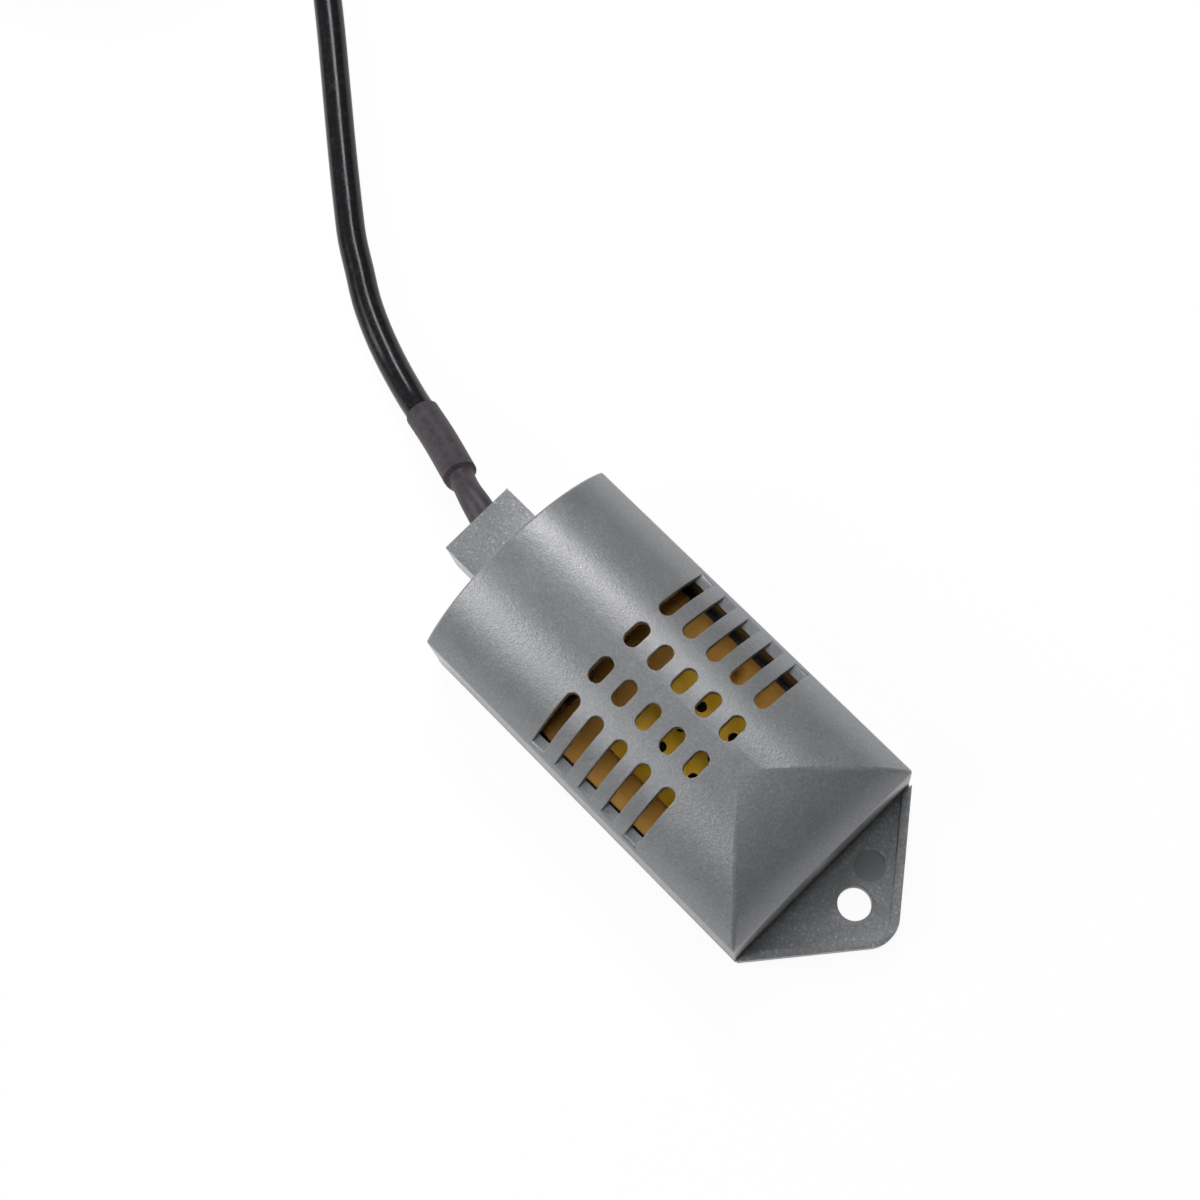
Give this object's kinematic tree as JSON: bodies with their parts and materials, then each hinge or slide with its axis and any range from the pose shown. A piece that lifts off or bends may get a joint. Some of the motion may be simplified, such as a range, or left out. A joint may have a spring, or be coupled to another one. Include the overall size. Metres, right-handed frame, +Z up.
{
  "type": "humidity probe",
  "caption": "Arched probe case with rows of vent slots and a screw tab; sensor board inside; lead with a small jack plug.",
  "frame": {"origin": "middle of the casing's footprint, on the surface that its flat back lies on, without the lead", "axes": "+X along the casing from the cable block to the mounting tab, +Z up out of the vented face, +Y across"},
  "size_m": [0.2247, 0.0833, 0.0225],
  "materials": {
    "casing": "fine grained moulded ABS, satin",
    "circuit_board": "amber resin board with a matte finish",
    "screw_steel": "zinc plated",
    "sensor_amber": "glossy olive amber moulding",
    "ceramic": "ceramic plate under a dark sensing film, with a gold comb",
    "tinned_metal": "bright tin",
    "epoxy": "black moulding compound",
    "resistor": "black coating with tinned ends",
    "capacitor": "tan ceramic with tinned ends",
    "can_aluminium": "satin can",
    "wire_red": "satin insulation",
    "wire_black": "satin insulation",
    "wire_yellow": "satin insulation",
    "nylon": "natural nylon, satin",
    "shrink_sleeve": "shrunk polyolefin, matte with a soft sheen",
    "cable_jacket": "glossy PVC jacket",
    "tie_plastic": "plastic-coated wire, flat",
    "plug_plastic": "moulded PVC, satin",
    "jack_plating": "bright nickel plate",
    "jack_insulator": "black acetal rings"
  },
  "bodies": {
    "probe": {"back_housing": "casing", "circuit_board": "circuit_board", "board_screws": "screw_steel", "humidity_sensor_case": "sensor_amber", "humidity_element": "ceramic", "sensor_pins": "tinned_metal", "thermistor_bead": "epoxy", "thermistor_leads": "tinned_metal", "signal_chip": "epoxy", "chip_leads": "tinned_metal", "chip_resistors": "resistor", "chip_capacitors": "capacitor", "electrolytic_can": "can_aluminium", "electrolytic_base": "epoxy", "solder_joints": "tinned_metal", "power_wire": "wire_red", "ground_wire": "wire_black", "signal_wire": "wire_yellow", "inner_cable_tie": "nylon", "heat_shrink_sleeve": "shrink_sleeve", "cable": "cable_jacket", "cable_coil": "cable_jacket", "cable_tail": "cable_jacket", "coil_tie": "tie_plastic", "plug_boot": "plug_plastic", "plug_grip": "plug_plastic", "plug_sleeve_contact": "jack_plating", "plug_insulators": "jack_insulator", "plug_ring_contact": "jack_plating", "plug_tip_contact": "jack_plating"},
    "cover": {"front_cover": "casing"}
  },
  "joints": [
    {"name": "cover_pull", "type": "slide", "parent": "probe", "child": "cover", "axis": [0, 0, 1], "range_m": [0, 0.03]}
  ]
}
